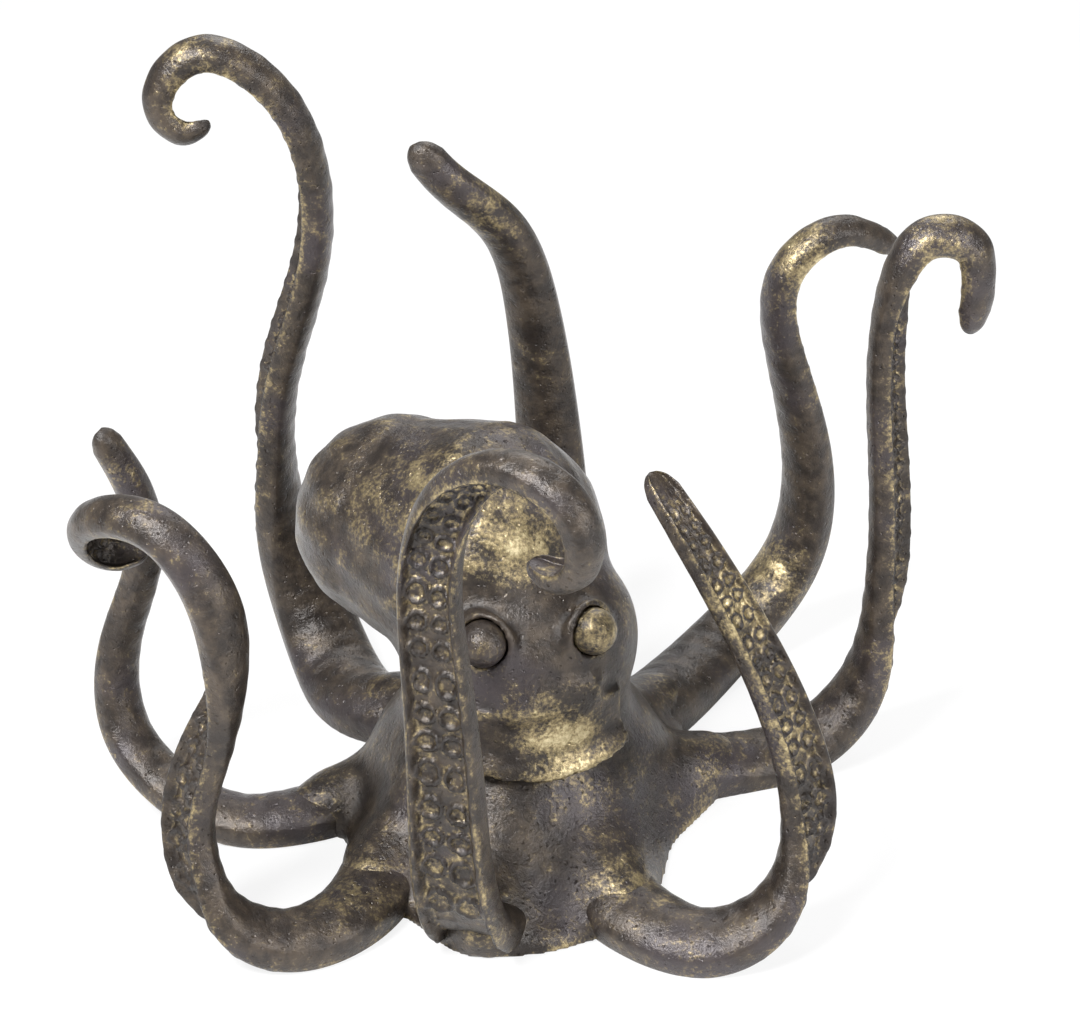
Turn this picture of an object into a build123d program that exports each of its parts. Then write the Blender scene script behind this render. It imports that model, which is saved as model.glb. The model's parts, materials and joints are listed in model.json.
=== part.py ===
from build123d import *
import math
import os

# A cast octopus ornament that stands on its eight curling arms. Lengths are in millimetres.
# The hub's axis is upright. A heading of 0 degrees points to the front, and 90 to the right.

# Hub: an eight-sided block with one flat seat for each arm
seat_radius = 44.0
seat_height = 31.0
hub_height = 40.0
neck_radius = 38.0
seat_gap = 0.3

# Arms: the height at which they leave the hub, how far their undersides clear the table there, how
# deep their feet are ground flat, and about how far apart their sections stand
root_height = 11.0
root_lift = 1.2
foot_grind = 0.8
station_pitch = 9.0
steps_per_station = 8

# Each arm: the heading of its seat, how far it reaches, how high it rises, its half width, how
# much stouter than the others its tip is, and rows of how far it has rolled about itself by a share
# of the way
front_heading = -12.0
front_reach = 102.0
front_rise = 182.0
front_half_width = 15.0
front_roll_rows = ((0.55, 0), (0.85, 75))
front_tip_swell = 0.0

front_right_heading = 34.0
front_right_reach = 109.0
front_right_rise = 151.0
front_right_half_width = 15.0
front_right_roll_rows = ((0.27, 0), (0.52, -72))
front_right_tip_swell = 0.0

right_heading = 94.0
right_reach = 155.0
right_rise = 193.0
right_half_width = 14.0
right_roll_rows = ((0.22, 0), (0.45, -50), (0.72, -50), (0.88, 0))
right_tip_swell = 0.3

back_right_heading = 131.0
back_right_reach = 178.0
back_right_rise = 165.0
back_right_half_width = 15.5
back_right_roll_rows = ((0.55, 0), (0.85, -25))
back_right_tip_swell = 0.0

back_heading = 172.0
back_reach = 105.0
back_rise = 211.0
back_half_width = 16.0
back_roll_rows = ((0, 0),)
back_tip_swell = 0.1

back_left_heading = 216.0
back_left_reach = 133.0
back_left_rise = 239.0
back_left_half_width = 16.0
back_left_roll_rows = ((0.18, 0), (0.42, 70))
back_left_tip_swell = 0.0

left_heading = 274.0
left_reach = 134.0
left_rise = 140.0
left_half_width = 13.0
left_roll_rows = ((0, 0),)
left_tip_swell = 0.1

front_left_heading = 310.0
front_left_reach = 125.0
front_left_rise = 142.0
front_left_half_width = 14.5
front_left_roll_rows = ((0.24, 0), (0.36, 45), (0.47, 45), (0.70, -40))
front_left_tip_swell = 0.0

# Points of each arm's centre line: shares of its reach outwards and sideways, and of its rise
front_route_shares = (
    (0.54, 0.02, 0.012), (0.67, 0.05, 0.00), (0.80, 0.04, 0.03), (0.89, 0.01, 0.15),
    (0.90, -0.01, 0.36), (0.87, -0.04, 0.58), (0.81, -0.05, 0.84), (0.84, 0.07, 0.97),
    (0.92, 0.25, 1.01), (0.99, 0.40, 0.96), (0.99, 0.41, 0.87), (0.94, 0.32, 0.83), (0.90, 0.24, 0.84),
)
front_right_route_shares = (
    (0.60, -0.06, 0.01), (0.78, -0.05, 0.00), (0.93, 0.03, 0.00), (1.00, 0.18, 0.04),
    (0.98, 0.35, 0.20), (0.91, 0.35, 0.42), (0.80, 0.25, 0.68), (0.66, 0.15, 0.89), (0.50, 0.12, 1.00),
)
right_route_shares = (
    (0.42, 0.05, 0.01), (0.60, 0.10, 0.00), (0.75, 0.15, 0.07), (0.83, 0.20, 0.27), (0.825, 0.22, 0.54),
    (0.805, 0.23, 0.76), (0.81, 0.23, 0.87), (0.83, 0.225, 0.95), (0.865, 0.225, 0.99), (0.925, 0.22, 1.00),
    (0.975, 0.22, 0.975), (0.99, 0.215, 0.93), (0.99, 0.215, 0.87), (0.98, 0.215, 0.81),
)
back_right_route_shares = (
    (0.46, 0.05, 0.00), (0.67, 0.09, 0.04), (0.80, 0.07, 0.18), (0.83, 0.06, 0.40), (0.78, 0.09, 0.71),
    (0.78, 0.08, 0.95), (0.86, 0.04, 1.01), (1.00, 0.00, 0.94),
)
back_route_shares = (
    (0.64, -0.01, 0.00), (0.84, -0.01, 0.05), (0.98, 0.01, 0.22), (0.98, 0.04, 0.45),
    (0.92, 0.08, 0.66), (0.82, 0.17, 0.83), (0.70, 0.34, 0.94), (0.67, 0.42, 1.00),
)
back_left_route_shares = (
    (0.54, 0.09, 0.00), (0.72, 0.08, 0.00), (0.90, 0.06, 0.09), (1.00, 0.08, 0.27), (0.97, 0.07, 0.47),
    (0.88, 0.01, 0.68), (0.86, 0.03, 0.85), (0.89, 0.16, 0.98), (0.94, 0.27, 1.01),
    (0.985, 0.355, 0.97), (0.985, 0.365, 0.92), (0.95, 0.32, 0.895), (0.91, 0.27, 0.91),
)
left_route_shares = (
    (0.42, 0.012, 0.012), (0.55, 0.06, 0.00), (0.70, 0.07, 0.00), (0.85, 0.00, 0.04), (0.98, -0.12, 0.15),
    (0.99, -0.19, 0.34), (0.91, -0.20, 0.60), (0.92, -0.17, 0.82), (0.99, -0.14, 1.00),
)
front_left_route_shares = (
    (0.44, 0.02, 0.012), (0.57, 0.10, 0.00), (0.71, 0.15, 0.00), (0.86, 0.12, 0.00), (0.97, 0.00, 0.07),
    (0.97, -0.11, 0.27), (0.88, -0.06, 0.58), (0.88, -0.08, 0.84), (0.95, -0.22, 1.00), (1.00, -0.38, 0.98),
    (0.985, -0.49, 0.88), (0.91, -0.50, 0.80), (0.84, -0.43, 0.81),
)

# Taper: share of the way along an arm, then half width, crown height and rim depth as shares
# of the arm's own half width
taper_shares = (
    (0.00, 1.00, 0.72, 0.60), (0.15, 0.95, 0.60, 0.50), (0.30, 0.84, 0.52, 0.44), (0.55, 0.67, 0.44, 0.36),
    (0.75, 0.53, 0.38, 0.30), (0.90, 0.44, 0.34, 0.26), (0.97, 0.38, 0.30, 0.23), (1.00, 0.22, 0.17, 0.12),
)
rest_share = 0.20
root_share = 0.13
# Channel between the rims: half width at the rims' crests and at its floor, and its floor's depth
rim_crest_share = 0.90
channel_share = 0.70
channel_floor_share = 0.40
# How far a cubic curve's two middle points stand off, for a curve one high
crown_pull_share = 4 / 3

# Suckers: pairs of open rings in the channel, smaller towards the tip
sucker_start_share = 0.24
sucker_end_share = 0.86
sucker_row_share = 0.34
sucker_radius_share = 0.30
sucker_room_share = 0.46
sucker_height_share = 0.50
sucker_top_share = 0.80
sucker_pit_share = 0.50
sucker_pit_depth_share = 0.60
sucker_sides = 6
sucker_gap = 0.3

# Head: a neck and face casting. Rows give its height, sideways and forward half sizes and how
# far its middle stands forward of the hub's axis.
head_heading = 12.0
head_height = 64.0
head_half_width = 41.0
head_shift = 8.0
head_shares = (
    (0.00, 0.93, 0.93, 0.00), (0.16, 1.00, 0.97, 0.00), (0.38, 0.95, 0.93, 0.30), (0.58, 0.92, 0.90, 0.70),
    (0.76, 0.88, 0.86, 0.90), (0.90, 0.74, 0.70, 0.60), (1.00, 0.50, 0.45, 0.00),
)

# Mantle: a pear-shaped body whose full end sits in the head, and whose tail points back to the left
mantle_side = -13.5
mantle_back = 14.5
mantle_centre_height = 93.5
mantle_radius = 44.0
mantle_tail_radius = 36.0
mantle_length = 31.0
mantle_heading = 235.0
mantle_gap = 0.3

# Collar: the raised bib round the front of the neck
collar_height = 27.0
collar_wall = 3.2
collar_lip = 6.0
collar_gap = 0.3
collar_left_heading = -28.0
collar_right_heading = 52.0

# Eyes: balls in sockets in the head
eye_radius = 7.6
eye_gap = 0.3
eye_height = 89.5
eye_forward = 35.8
eye_side = 17.9

# Fixings
dowel_radius = 2.5
dowel_hole_radius = 2.65
dowel_depth = 12.0
dowel_end_gap = 0.3
mantle_dowel_radius = 4.0
mantle_dowel_hole_radius = 4.15
mantle_dowel_bite = 13.0
mantle_dowel_foot = 6.5
bolt_radius = 3.0
bolt_hole_radius = 3.2
bolt_head_radius = 5.8
bolt_head_height = 4.0
bolt_head_sides = 6
bolt_bite = 12.0
bolt_end_gap = 1.0
washer_radius = 8.5
washer_thickness = 1.6
counterbore_radius = 9.0
counterbore_depth = 12.0

UP = Vector(0, 0, 1)


def outward(heading):
    """Level unit vector that points away from the hub at a heading"""
    turn = math.radians(heading)
    return Vector(math.sin(turn), -math.cos(turn), 0)


def sideways(heading):
    """Level unit vector at right angles to the heading, to the right of someone facing the hub"""
    turn = math.radians(heading)
    return Vector(math.cos(turn), math.sin(turn), 0)


class Arm:
    """One arm's seat heading, size, roll and centre line"""

    def __init__(self, heading, reach, rise, half_width, roll_rows, tip_swell, route_shares):
        self.heading = heading
        self.half_width = half_width
        self.roll_rows = roll_rows
        self.tip_swell = tip_swell
        self.rest_height = self.sizes_at(rest_share)[2] - foot_grind
        out = outward(heading)
        side = sideways(heading)
        points = [out * seat_radius + UP * root_height]
        for out_share, side_share, up_share in route_shares:
            height = self.rest_height + up_share * (rise - self.rest_height)
            points.append(out * (out_share * reach) + side * (side_share * reach) + UP * height)
        self.route = Spline(*points, tangents=[out, points[-1] - points[-2]], tangent_scalars=[1, 1])

    def sizes_at(self, share):
        """Half width, crown height and rim depth at a share of the way along"""
        swell = 1 + self.tip_swell * share ** 4
        return [self.half_width * swell * value for value in between(taper_shares, share)[1:]]


def between(rows, share):
    """Row of a table of shares at a place along it, worked out in straight lines"""
    for low, high in zip(rows, rows[1:]):
        if share <= high[0]:
            part = (share - low[0]) / (high[0] - low[0])
            return [a + part * (b - a) for a, b in zip(low, high)]
    return list(rows[-1])


def roll_at(rows, share):
    """Roll in degrees at a share of the way, held before and after the rows and eased between them"""
    if share <= rows[0][0]:
        return rows[0][1]
    for (low, first), (high, second) in zip(rows, rows[1:]):
        if share <= high:
            part = (share - low) / (high - low)
            return first + (second - first) * part * part * (3 - 2 * part)
    return rows[-1][1]


def arms_by_name():
    """The eight arms in order round the hub, from the front towards the right"""
    return {
        "front_arm": Arm(
            front_heading, front_reach, front_rise, front_half_width,
            front_roll_rows, front_tip_swell, front_route_shares,
        ),
        "front_right_arm": Arm(
            front_right_heading, front_right_reach, front_right_rise, front_right_half_width,
            front_right_roll_rows, front_right_tip_swell, front_right_route_shares,
        ),
        "right_arm": Arm(
            right_heading, right_reach, right_rise, right_half_width,
            right_roll_rows, right_tip_swell, right_route_shares,
        ),
        "back_right_arm": Arm(
            back_right_heading, back_right_reach, back_right_rise, back_right_half_width,
            back_right_roll_rows, back_right_tip_swell, back_right_route_shares,
        ),
        "back_arm": Arm(
            back_heading, back_reach, back_rise, back_half_width,
            back_roll_rows, back_tip_swell, back_route_shares,
        ),
        "back_left_arm": Arm(
            back_left_heading, back_left_reach, back_left_rise, back_left_half_width,
            back_left_roll_rows, back_left_tip_swell, back_left_route_shares,
        ),
        "left_arm": Arm(
            left_heading, left_reach, left_rise, left_half_width,
            left_roll_rows, left_tip_swell, left_route_shares,
        ),
        "front_left_arm": Arm(
            front_left_heading, front_left_reach, front_left_rise, front_left_half_width,
            front_left_roll_rows, front_left_tip_swell, front_left_route_shares,
        ),
    }


def frames_along(arm):
    """Places along an arm: share of the way, point, direction and the way the belly faces.

    The belly faces down at the seat and is carried along without twist in small steps, and the
    arm's roll there is added to it.
    """
    steps = steps_per_station * math.ceil(arm.route.length / station_pitch)
    frames = []
    belly = -UP
    for step in range(steps + 1):
        share = step / steps
        along = arm.route.tangent_at(share)
        belly = (belly - along * belly.dot(along)).normalized()
        roll = math.radians(roll_at(arm.roll_rows, share))
        facing = belly * math.cos(roll) + along.cross(belly) * math.sin(roll)
        frames.append((share, arm.route.position_at(share), along, facing))
    return frames


def arm_section(arm, frame, seat_left, seat_right):
    """Section of an arm: a round crown over two rims with a channel between them.

    Near the seat it blends into the seat's own outline: as wide and as high as its flat side.
    """
    share, centre, along, belly = frame
    side = along.cross(belly)
    half, crown, rim = arm.sizes_at(share)
    blend = max(0, 1 - share / root_share) ** 2
    left = half + blend * (seat_left - half)
    right = half + blend * (seat_right - half)
    crown += blend * (seat_height - root_height - crown)
    rim += blend * (root_height - root_lift - rim)
    floor = rim * (channel_floor_share + blend * (1 - channel_floor_share))

    def place(across, up):
        return centre + side * across - belly * up

    under = [
        place(-left, 0),
        place(-left * rim_crest_share, -rim),
        place(-left * channel_share, -floor),
        place(right * channel_share, -floor),
        place(right * rim_crest_share, -rim),
        place(right, 0),
    ]
    above = crown * crown_pull_share
    edges = [Edge.make_bezier(place(right, 0), place(right, above), place(-left, above), place(-left, 0))]
    edges += [Edge.make_line(start, end) for start, end in zip(under, under[1:])]
    return Wire(edges)


def seat_half_widths(headings, index):
    """Half widths of a seat to its left and right: to the corners it shares with its neighbours"""
    here = headings[index]
    widths = []
    for step in (-1, 1):
        spread = abs((headings[(index + step) % len(headings)] - here + 180) % 360 - 180)
        widths.append(seat_radius * math.tan(math.radians(spread / 2)) - seat_gap)
    return widths


def dowel(arm, radius, depth):
    """Level rod across an arm's seat, on the arm's heading"""
    out = outward(arm.heading)
    start = out * (seat_radius - depth) + UP * root_height
    return Solid.make_cylinder(radius, depth + depth, Plane(start, z_dir=out))


def arm_dowels(arms):
    """The dowels of all the seats, each shorter than its holes by a gap at both ends"""
    return Compound([dowel(arm, dowel_radius, dowel_depth - dowel_end_gap) for arm in arms.values()])


def make_arm(arm, chosen, seat_left, seat_right):
    """Arm casting: sections along its route, ground flat on the table, with its dowel hole"""
    body = Solid.make_loft([arm_section(arm, frame, seat_left, seat_right) for frame in chosen])
    table = Pos(0, 0, -seat_height / 2) * Box(20 * seat_radius, 20 * seat_radius, seat_height)
    return body - table - dowel(arm, dowel_hole_radius, dowel_depth)


def polygon(centre, across, ahead, radius_x, radius_y, sides):
    """Closed ring of straight sides on an ellipse"""
    turns = [2 * math.pi * step / sides for step in range(sides)]
    ring = [centre + across * (radius_x * math.cos(t)) + ahead * (radius_y * math.sin(t)) for t in turns]
    return Wire.make_polygon(ring)


def sucker(place, along, facing, radius):
    """Open ring: a tapered cup with a pit in it, standing on the channel's floor"""
    side = along.cross(facing)
    height = radius * sucker_height_share
    rings = [(0, radius), (height, radius * sucker_top_share), (height, radius * sucker_pit_share)]
    profile = [polygon(place + facing * up, side, along, wide, wide, sucker_sides) for up, wide in rings]
    pit = place + facing * (height * (1 - sucker_pit_depth_share))
    return Solid.make_loft([*profile, Vertex(*pit)], True)


def channel_floor(arm, frame):
    """Middle of the channel's floor at one frame of the route"""
    share, centre, _, belly = frame
    return centre + belly * (arm.sizes_at(share)[2] * channel_floor_share)


def make_suckers(arm, frames):
    """A pair of sucker rings on each stretch of the channel, shrinking with the arm.

    Each pair stands just clear of the floor's highest point under it, on a bend either way.
    """
    rings = []
    for start in range(0, len(frames) - 1, steps_per_station):
        low, high = frames[start], frames[start + steps_per_station]
        middle = frames[start + steps_per_station // 2]
        if not sucker_start_share < middle[0] < sucker_end_share:
            continue
        stretch = channel_floor(arm, high) - channel_floor(arm, low)
        along = stretch.normalized()
        side = along.cross(middle[3]).normalized()
        facing = side.cross(along)
        foot = channel_floor(arm, low) + stretch / 2
        rise = max(0, (channel_floor(arm, middle) - foot).dot(facing)) + sucker_gap
        half = arm.sizes_at(middle[0])[0]
        radius = min(half * sucker_radius_share, stretch.length * sucker_room_share)
        for row in (-1, 1):
            centre = foot + facing * rise + side * (row * half * sucker_row_share)
            rings.append(sucker(centre, along, facing, radius))
    return Compound(rings)


def seat_ring(headings, scale, height):
    """Eight-cornered outline whose sides face the arms"""
    corners = []
    for index, here in enumerate(headings):
        spread = (headings[(index + 1) % len(headings)] - here) % 360
        corner = seat_radius * scale / math.cos(math.radians(spread / 2))
        corners.append(outward(here + spread / 2) * corner + UP * height)
    return Wire.make_polygon(corners)


def make_hub(arms):
    """Hub casting with its seats, dowel holes and the counterbored hole for the neck bolt"""
    headings = [arm.heading for arm in arms.values()]
    narrow = neck_radius / seat_radius
    low_ring = seat_ring(headings, 1, 0)
    shoulder_ring = seat_ring(headings, 1, seat_height)
    neck_ring = seat_ring(headings, narrow, hub_height)
    hub = Solid.make_loft([low_ring, shoulder_ring, neck_ring], True)
    hub -= Solid.make_cylinder(bolt_hole_radius, hub_height)
    hub -= Solid.make_cylinder(counterbore_radius, counterbore_depth)
    for arm in arms.values():
        hub -= dowel(arm, dowel_hole_radius, dowel_depth)
    return hub


def make_mantle(gap):
    """Two balls of different size on a level axis with a cone over both, larger all round by a gap"""
    slope = math.degrees(math.acos((mantle_radius - mantle_tail_radius) / mantle_length))
    tail = Plane((mantle_length, 0, 0))
    tail_arc = Edge.make_circle(mantle_tail_radius + gap, tail, start_angle=0, end_angle=slope)
    full_arc = Edge.make_circle(mantle_radius + gap, Plane.XY, start_angle=slope, end_angle=180)
    top = Edge.make_line(tail_arc.position_at(1), full_arc.position_at(0))
    axis = Edge.make_line(full_arc.position_at(1), tail_arc.position_at(0))
    body = revolve(Face(Wire([tail_arc, top, full_arc, axis])), Axis.X)
    middle = Vector(mantle_side, mantle_back, mantle_centre_height)
    seat = Plane(middle, x_dir=outward(mantle_heading), z_dir=UP)
    return seat.location * body


def head_ring(height, shift, half_width, half_depth):
    """Level ellipse round the head at a height, its middle shifted forward"""
    ahead = outward(head_heading)
    plane = Plane(ahead * shift + UP * height, x_dir=sideways(head_heading), z_dir=UP)
    return Wire.make_ellipse(half_width, half_depth, plane)


def eye_place(side):
    """Centre of an eye, to the right or left of the head's middle plane"""
    level = outward(head_heading) * eye_forward + sideways(head_heading) * (side * eye_side)
    return level + UP * eye_height


def make_ball(centre, radius):
    """Ball round a centre"""
    return Pos(centre) * Sphere(radius)


def mantle_dowel(radius, gap):
    """Upright rod across the underside of the mantle's full end, shorter by a gap at each end"""
    foot = mantle_centre_height - mantle_radius - mantle_dowel_foot + gap
    length = mantle_dowel_foot + mantle_dowel_bite - 2 * gap
    return Solid.make_cylinder(radius, length, Plane((mantle_side, mantle_back, foot)))


def make_head():
    """Head casting: cups the mantle, with eye sockets and the holes of its fixings"""
    rings = []
    for up_share, side_share, ahead_share, shift_share in head_shares:
        height = hub_height + up_share * head_height
        half_width, half_depth = side_share * head_half_width, ahead_share * head_half_width
        rings.append(head_ring(height, shift_share * head_shift, half_width, half_depth))
    head = Solid.make_loft(rings)
    head -= make_mantle(mantle_gap)
    for side in (-1, 1):
        head -= make_ball(eye_place(side), eye_radius + eye_gap)
    head -= mantle_dowel(mantle_dowel_hole_radius, 0)
    head -= Solid.make_cylinder(bolt_hole_radius, bolt_bite, Plane((0, 0, hub_height)))
    return head


def make_collar():
    """Bib round the front of the neck that flares to a lip at its lower edge"""
    inner = head_half_width + collar_gap
    top = hub_height + collar_height
    profile = Wire.make_polygon([
        Vector(inner, 0, hub_height),
        Vector(inner + collar_lip, 0, hub_height),
        Vector(inner + collar_wall, 0, hub_height + collar_lip),
        Vector(inner + collar_wall / 2, 0, top),
        Vector(inner, 0, top),
    ])
    bib = revolve(Face(profile), Axis.Z, collar_right_heading - collar_left_heading)
    return Rot(0, 0, collar_left_heading - 90) * bib


def make_neck_bolt():
    """Bolt that comes up through the hub into the head, with a hexagonal head"""
    seat = counterbore_depth - washer_thickness
    length = hub_height + bolt_bite - bolt_end_gap - seat
    shank = Solid.make_cylinder(bolt_radius, length, Plane((0, 0, seat)))
    x, y = Vector(1, 0, 0), Vector(0, 1, 0)
    rings = [polygon(UP * z, x, y, bolt_head_radius, bolt_head_radius, bolt_head_sides)
             for z in (seat - bolt_head_height, seat)]
    return shank + Solid.make_loft(rings, True)


def make_neck_washer():
    """Washer between the bolt's head and the bottom of the counterbore"""
    plane = Plane((0, 0, counterbore_depth - washer_thickness))
    return (Solid.make_cylinder(washer_radius, washer_thickness, plane)
            - Solid.make_cylinder(bolt_hole_radius, washer_thickness, plane))


def make_figure():
    """Every piece by name, in the hub's own place"""
    arms = arms_by_name()
    headings = [arm.heading for arm in arms.values()]
    pieces = {
        "hub": make_hub(arms),
        "head": make_head(),
        "mantle": make_mantle(0) - mantle_dowel(mantle_dowel_hole_radius, 0),
        "collar": make_collar(),
        "right_eye": make_ball(eye_place(1), eye_radius),
        "left_eye": make_ball(eye_place(-1), eye_radius),
        "neck_bolt": make_neck_bolt(),
        "neck_washer": make_neck_washer(),
        "mantle_dowel": mantle_dowel(mantle_dowel_radius, dowel_end_gap),
        "arm_dowels": arm_dowels(arms),
    }
    for index, (name, arm) in enumerate(arms.items()):
        frames = frames_along(arm)
        pieces[name] = make_arm(arm, frames[::steps_per_station], *seat_half_widths(headings, index))
        pieces[name + "_suckers"] = make_suckers(arm, frames)
    return pieces


def main():
    """Stand the figure over the middle of its own box and write one file for each piece"""
    pieces = make_figure()
    box = Compound([piece for piece in pieces.values()]).bounding_box()
    middle = Pos(-box.center().X, -box.center().Y, 0)
    os.makedirs("parts", exist_ok=True)
    for name, piece in pieces.items():
        export_step(middle * piece, f"parts/{name}.step")


main()
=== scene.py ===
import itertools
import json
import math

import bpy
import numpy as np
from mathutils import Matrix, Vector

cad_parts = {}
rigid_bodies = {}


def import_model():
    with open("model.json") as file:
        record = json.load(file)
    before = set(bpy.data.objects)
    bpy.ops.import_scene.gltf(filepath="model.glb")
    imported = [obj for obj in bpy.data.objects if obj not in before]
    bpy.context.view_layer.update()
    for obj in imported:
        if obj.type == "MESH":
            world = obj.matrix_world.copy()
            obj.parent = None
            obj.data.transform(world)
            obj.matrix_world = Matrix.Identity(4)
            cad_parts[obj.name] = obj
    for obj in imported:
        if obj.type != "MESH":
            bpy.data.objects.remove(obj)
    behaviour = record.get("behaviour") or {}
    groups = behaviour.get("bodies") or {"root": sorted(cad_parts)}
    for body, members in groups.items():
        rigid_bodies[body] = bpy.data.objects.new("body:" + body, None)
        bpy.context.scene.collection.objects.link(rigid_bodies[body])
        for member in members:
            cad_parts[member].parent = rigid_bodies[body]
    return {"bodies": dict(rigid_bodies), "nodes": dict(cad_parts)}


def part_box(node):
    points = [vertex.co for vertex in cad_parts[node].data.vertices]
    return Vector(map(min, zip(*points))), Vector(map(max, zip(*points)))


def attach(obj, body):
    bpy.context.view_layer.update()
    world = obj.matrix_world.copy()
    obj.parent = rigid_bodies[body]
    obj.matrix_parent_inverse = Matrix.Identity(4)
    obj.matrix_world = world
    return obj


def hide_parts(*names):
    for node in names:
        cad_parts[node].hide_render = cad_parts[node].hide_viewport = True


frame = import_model()

# %% [markdown]
# # A cast octopus that stands on its curling arms
# The solids of the figure are loaded first, and everything below dresses them. The real figure is
# a light metal casting with an antique bronze finish: dark in its hollows, and rubbed to a pale
# gold on its ridges and sucker rings. The figure's lengths are in millimetres round the hub's
# axis, and become metres only when a mesh is made or the camera is placed. Lamps are in metres.

MM = 0.001
UP = np.array([0, 0, 1.0])
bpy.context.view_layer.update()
body_name = next(iter(frame["bodies"]))
bolt_low, bolt_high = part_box("neck_bolt")
hub_axis = np.array([bolt_low.x + bolt_high.x, bolt_low.y + bolt_high.y, 0]) / 2
print("hub axis at", hub_axis.round(4))

# %% [markdown]
# ## The arms' routes
# Each arm leaves a flat seat on the hub, rests on the table and then rises and curls. A route is a
# short list of points, as shares of how far the arm reaches and how high it rises, with a smooth
# curve through them. The alternative, a curve drawn by hand in the viewport, could not be tied to
# the solids: here the same shares give both.

# %% Sizes of the hub and of each arm
SEAT_RADIUS = 44.0
ROOT_HEIGHT = 11.0
FOOT_GRIND = 0.8
REST_SHARE = 0.20
# Rows of an arm's taper: share of its length, then half width, crown height and rim depth as
# shares of the half width at its root.
TAPER = np.array([
    (0.00, 1.00, 0.72, 0.60), (0.15, 0.95, 0.60, 0.50), (0.30, 0.84, 0.52, 0.44),
    (0.55, 0.67, 0.44, 0.36), (0.75, 0.53, 0.38, 0.30), (0.90, 0.44, 0.34, 0.26),
    (0.97, 0.38, 0.30, 0.23), (1.00, 0.22, 0.17, 0.12),
])
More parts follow.
